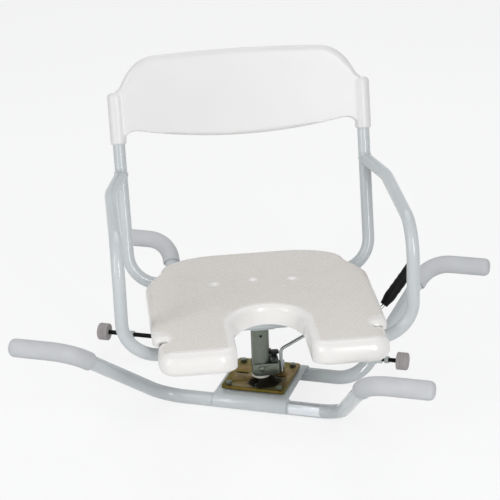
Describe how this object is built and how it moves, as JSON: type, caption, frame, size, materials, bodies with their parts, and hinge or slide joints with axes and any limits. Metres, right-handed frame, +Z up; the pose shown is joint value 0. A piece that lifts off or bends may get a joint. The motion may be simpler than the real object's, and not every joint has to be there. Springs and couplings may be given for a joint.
{
  "type": "swivel bath seat",
  "caption": "Swivel bath seat: moulded seat with hygiene cut-out, arms and backrest on a tube frame that turns on a post over two bearers laid across a bath.",
  "frame": {"origin": "on the swivel axis, level with the underside of the two low bearer tubes", "axes": "+X across the bath along the bearers, +Y away from the front bearer, +Z up along the swivel axis. The seat is turned 22.75 degrees anticlockwise from above, as in the picture"},
  "size_m": [0.73, 0.6266, 0.5691],
  "materials": {
    "powder_coat": "pale grey-white powder coat on steel, smooth semi-gloss",
    "moulded_seat": "moulded warm white plastic, fine embossed grip pattern on top, smooth on the rolled edges",
    "moulded_back": "moulded white plastic, fine satin grain",
    "soft_sleeve": "soft matt grey vinyl dipped sleeve",
    "yellow_zinc": "yellow passivated zinc plate with scuffs",
    "clear_zinc": "clear zinc plated steel",
    "dull_zinc": "dull zinc plated steel, slightly olive",
    "grip_plastic": "black moulded grip",
    "stopper_rubber": "light grey-pink rubber",
    "black_steel": "blackened steel with a cut thread",
    "bush_nylon": "natural nylon"
  },
  "bodies": {
    "base": {"bearer_tube_front": "powder_coat", "bearer_tube_rear": "powder_coat", "bearer_pan": "powder_coat", "lock_plate": "yellow_zinc", "plate_bolt_front_left": "clear_zinc", "plate_bolt_front_right": "clear_zinc", "plate_bolt_rear_left": "clear_zinc", "plate_bolt_rear_right": "clear_zinc", "plate_spacer_front_left": "clear_zinc", "plate_spacer_front_right": "clear_zinc", "plate_spacer_rear_left": "clear_zinc", "plate_spacer_rear_right": "clear_zinc", "plate_nut_front_left": "clear_zinc", "plate_nut_front_right": "clear_zinc", "plate_nut_rear_left": "clear_zinc", "plate_nut_rear_right": "clear_zinc", "grip_sleeve_front_left": "soft_sleeve", "grip_sleeve_front_right": "soft_sleeve", "grip_sleeve_rear_left": "soft_sleeve", "grip_sleeve_rear_right": "soft_sleeve", "spindle": "clear_zinc", "thrust_ring": "clear_zinc", "retaining_washer": "clear_zinc", "retaining_screw": "clear_zinc"},
    "turning_seat": {"swivel_post": "dull_zinc", "bush_lower": "bush_nylon", "bush_upper": "bush_nylon", "head_plate": "powder_coat", "rear_hoop": "powder_coat", "front_hoop": "powder_coat", "seat": "moulded_seat", "backrest": "moulded_back", "seat_screw_front_left": "clear_zinc", "seat_screw_front_right": "clear_zinc", "seat_screw_rear_left": "clear_zinc", "seat_screw_rear_right": "clear_zinc", "back_screw_left": "clear_zinc", "back_screw_right": "clear_zinc", "yoke_screw_front": "clear_zinc", "yoke_screw_rear": "clear_zinc", "spring_keeper": "dull_zinc", "lock_spring": "black_steel"},
    "lock_lever": {"lever_yoke": "clear_zinc", "lock_tongue": "clear_zinc", "lever_rod": "clear_zinc", "lever_grip": "grip_plastic"},
    "stopper_left": {"stopper_cap_left": "stopper_rubber", "stopper_rod_left": "black_steel", "stopper_nut_left": "clear_zinc"},
    "stopper_right": {"stopper_cap_right": "stopper_rubber", "stopper_rod_right": "black_steel", "stopper_nut_right": "clear_zinc"}
  },
  "joints": [
    {"name": "seat_swivel", "type": "hinge", "parent": "base", "child": "turning_seat", "pos_m": [0, 0, 0.1], "axis": [0, 0, 1], "continuous": true},
    {"name": "lock_lever_lift", "type": "hinge", "parent": "turning_seat", "child": "lock_lever", "pos_m": [0, 0, 0.057], "axis": [0.3867, -0.9222, 0], "range_deg": [0, 8], "stiffness_Nm_per_rad": 2, "springref_deg": -10.03, "deforming": ["lock_spring"]},
    {"name": "stopper_left_screw", "type": "slide", "parent": "base", "child": "stopper_left", "axis": [-1, 0, 0], "range_m": [-0.06, 0.015]},
    {"name": "stopper_right_screw", "type": "slide", "parent": "base", "child": "stopper_right", "axis": [1, 0, 0], "range_m": [-0.004, 0.08]}
  ]
}
